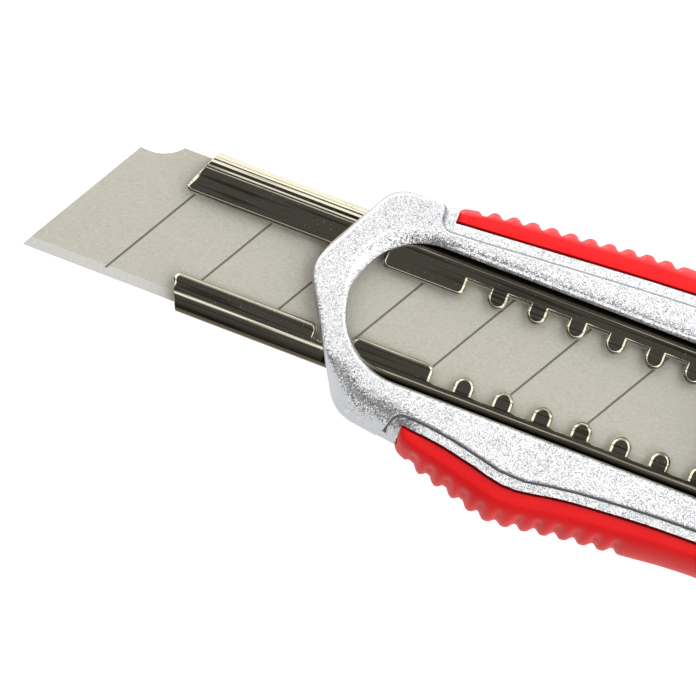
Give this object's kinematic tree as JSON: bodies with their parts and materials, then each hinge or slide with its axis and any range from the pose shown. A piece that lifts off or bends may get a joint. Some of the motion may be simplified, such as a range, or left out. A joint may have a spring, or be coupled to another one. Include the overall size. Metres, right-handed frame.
{
  "type": "utility knife",
  "caption": "Snap-off utility knife with a die-cast handle, long window, rubber grips, steel blade channel with lock tabs, sliding blade carrier, press button and pull-off tail cap.",
  "frame": {"origin": "centre of the whole object's footprint, on the surface that the handle's back lies on", "axes": "+X from the blade tip to the tail, +Y from the cutting edge to the spine, +Z out of the window's face"},
  "size_m": [0.1702, 0.0378, 0.0166],
  "materials": {
    "casting": "fine metallic silver paint",
    "grip_rubber": "satin red",
    "plated_channel": "bright nickel plate",
    "blade_steel": "fine ground",
    "plated_steel": "zinc plated",
    "spring_steel": "rolled",
    "dark_plastic": "fine moulded grain",
    "pad_rubber": "satin red"
  },
  "bodies": {
    "handle": {"face_casting": "casting", "back_casting": "casting", "case_screws": "plated_steel", "lanyard_eyelet": "plated_steel", "spine_grip": "grip_rubber", "edge_grip": "grip_rubber", "blade_channel": "plated_channel", "channel_rivets": "plated_steel"},
    "slider": {"blade": "blade_steel", "blade_carrier": "spring_steel", "blade_stud": "plated_steel", "carrier_screws": "plated_steel", "slider_base": "dark_plastic", "lock_spring": "spring_steel", "button_spring": "spring_steel"},
    "button": {"thumb_button": "dark_plastic", "button_pad": "pad_rubber"},
    "cap": {"tail_cap": "dark_plastic", "snapper_plate": "spring_steel", "cap_rivets": "plated_steel"}
  },
  "joints": [
    {"name": "blade_slide", "type": "slide", "parent": "handle", "child": "slider", "axis": [1, 0, 0], "range_m": [-0.0459, 0.0255], "deforming": ["lock_spring"]},
    {"name": "button_press", "type": "slide", "parent": "slider", "child": "button", "axis": [0, 0, -1], "range_m": [0, 0.00085], "stiffness_N_per_m": 600, "springref_m": -0.0015, "deforming": ["button_spring", "lock_spring"]},
    {"name": "cap_pull", "type": "slide", "parent": "handle", "child": "cap", "axis": [1, 0, 0], "range_m": [0, 0.012]}
  ]
}
